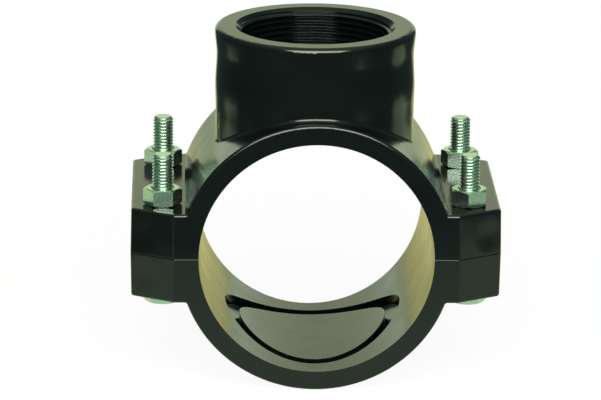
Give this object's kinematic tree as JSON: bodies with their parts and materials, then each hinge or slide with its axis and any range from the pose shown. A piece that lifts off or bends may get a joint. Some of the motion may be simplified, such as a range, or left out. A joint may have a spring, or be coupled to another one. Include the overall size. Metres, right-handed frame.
{
  "type": "tapping saddle",
  "caption": "Moulded clamp saddle that bolts round a plastic pipe to give it a threaded branch outlet.",
  "frame": {"origin": "centre of the pipe bore, halfway along the saddle, on the joint line between the two halves", "axes": "+Y along the pipe bore, +Z out of the threaded outlet, +X across the bolting ears; the pictured side faces -Y"},
  "size_m": [0.142, 0.09, 0.1335],
  "materials": {
    "moulded_polypropylene": "black, glossy as moulded",
    "seal_rubber": "black, satin",
    "zinc_plated_steel": "bright zinc plating with a faint blue-green passivation"
  },
  "bodies": {
    "upper": {"upper_half": "moulded_polypropylene", "gasket": "seal_rubber"},
    "lower": {"lower_half": "moulded_polypropylene", "bolt_front_left": "zinc_plated_steel", "bolt_front_right": "zinc_plated_steel", "bolt_rear_left": "zinc_plated_steel", "bolt_rear_right": "zinc_plated_steel"},
    "nut_front_left": {"nut_front_left": "zinc_plated_steel"},
    "nut_front_right": {"nut_front_right": "zinc_plated_steel"},
    "nut_rear_left": {"nut_rear_left": "zinc_plated_steel"},
    "nut_rear_right": {"nut_rear_right": "zinc_plated_steel"}
  },
  "joints": [
    {"name": "nut_front_left_turn", "type": "hinge", "parent": "upper", "child": "nut_front_left", "pos_m": [-0.05875, -0.0284, 0.0175], "axis": [0, 0, 1], "range_deg": [0, 3600]},
    {"name": "nut_front_right_turn", "type": "hinge", "parent": "upper", "child": "nut_front_right", "pos_m": [0.05875, -0.0284, 0.0175], "axis": [0, 0, 1], "range_deg": [0, 3600]},
    {"name": "nut_rear_left_turn", "type": "hinge", "parent": "upper", "child": "nut_rear_left", "pos_m": [-0.05875, 0.0284, 0.0175], "axis": [0, 0, 1], "range_deg": [0, 3600]},
    {"name": "nut_rear_right_turn", "type": "hinge", "parent": "upper", "child": "nut_rear_right", "pos_m": [0.05875, 0.0284, 0.0175], "axis": [0, 0, 1], "range_deg": [0, 3600]},
    {"name": "lower_half_slide", "type": "slide", "parent": "upper", "child": "lower", "axis": [0, 0, -1], "range_m": [0, 0.0125]}
  ],
  "couplings": [
    {"joint": "nut_front_left_turn", "follows": "lower_half_slide", "rad_per_m": 5026.5},
    {"joint": "nut_front_right_turn", "follows": "lower_half_slide", "rad_per_m": 5026.5},
    {"joint": "nut_rear_left_turn", "follows": "lower_half_slide", "rad_per_m": 5026.5},
    {"joint": "nut_rear_right_turn", "follows": "lower_half_slide", "rad_per_m": 5026.5}
  ]
}
